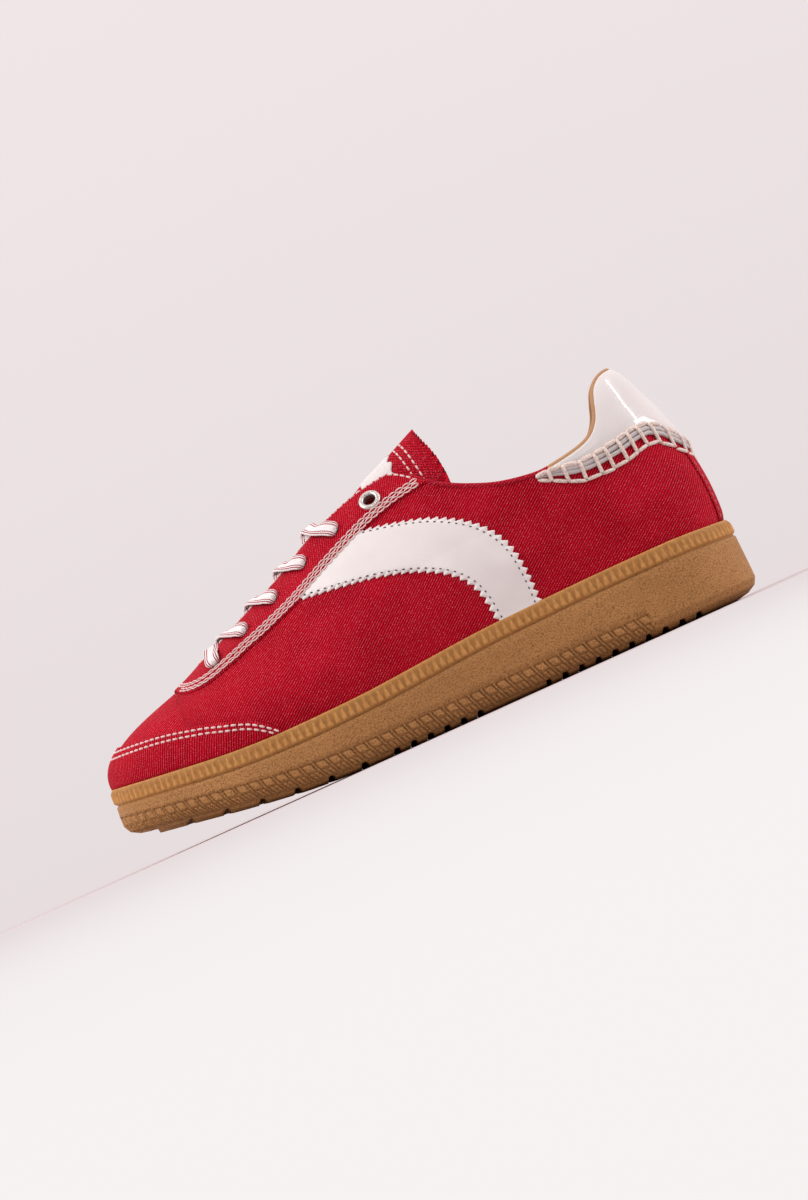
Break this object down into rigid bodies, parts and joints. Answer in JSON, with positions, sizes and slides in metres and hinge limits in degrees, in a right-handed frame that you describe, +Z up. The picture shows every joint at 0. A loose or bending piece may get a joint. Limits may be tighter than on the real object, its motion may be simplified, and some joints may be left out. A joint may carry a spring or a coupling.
{
  "type": "canvas sneaker",
  "caption": "Low canvas lace-up sneaker on a moulded gum rubber cupsole, with a patent heel tab and a pinked tongue.",
  "frame": {"origin": "under the middle of the shoe's bounding box, on the floor plane", "axes": "+X from heel to toe, +Y to the outer side of the left foot, +Z up"},
  "size_m": [0.2756, 0.1028, 0.1176],
  "materials": {
    "gum_rubber": "matt gum rubber, finely pebbled",
    "lining": "tan textile",
    "canvas": "red twill canvas with pale flecks",
    "patent": "white patent",
    "eyelet_metal": "satin pale metal",
    "lace_cotton": "flat woven white cotton"
  },
  "bodies": {
    "root": {"sole": "gum_rubber", "insole": "lining", "upper": "canvas", "eyestay": "canvas", "tongue": "canvas", "heel_tab": "patent", "eyelet_outer": "eyelet_metal", "eyelet_inner": "eyelet_metal", "lace_bar_1": "lace_cotton", "lace_bar_2": "lace_cotton", "lace_bar_3": "lace_cotton", "lace_bar_4": "lace_cotton", "lace_bar_5": "lace_cotton"}
  },
  "joints": []
}
